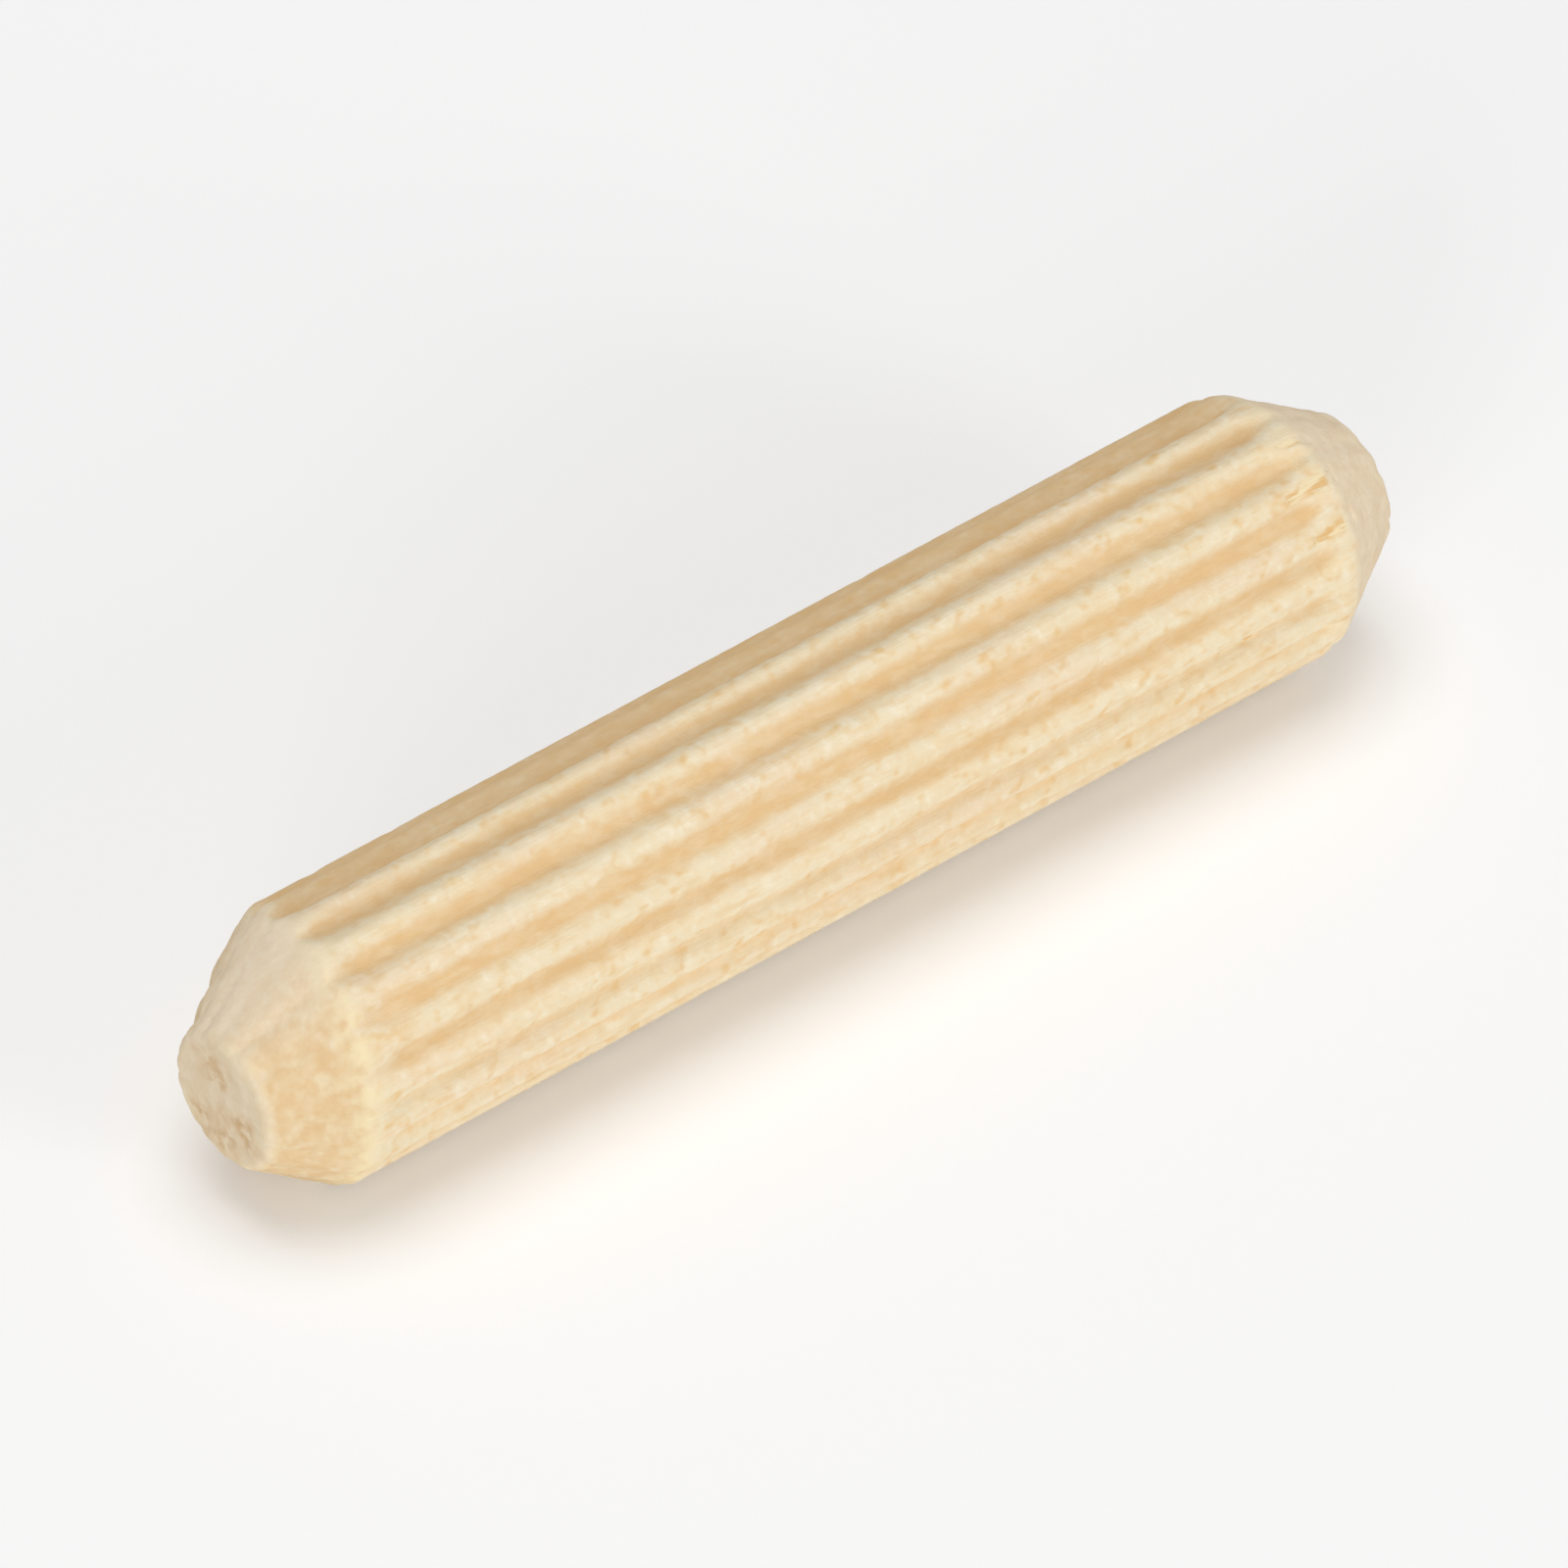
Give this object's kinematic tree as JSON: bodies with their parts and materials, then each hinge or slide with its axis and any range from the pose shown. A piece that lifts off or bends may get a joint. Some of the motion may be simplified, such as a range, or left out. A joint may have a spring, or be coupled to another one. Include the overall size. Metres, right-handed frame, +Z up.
{
  "type": "fluted dowel pin",
  "caption": "Pale wooden dowel pin with straight flutes along its length and a chamfer at each end, glued into round holes to join furniture panels.",
  "frame": {"origin": "middle of the pin, on its axis", "axes": "+X along the pin's axis, +Z up from the surface it lies on; a flute points straight down, so it rests on the two ridges beside that flute"},
  "size_m": [0.04, 0.008, 0.0078],
  "materials": {
    "wood": "dry, unfinished, rolled flutes and sawn ends"
  },
  "bodies": {
    "root": {"dowel_pin": "wood"}
  },
  "joints": []
}
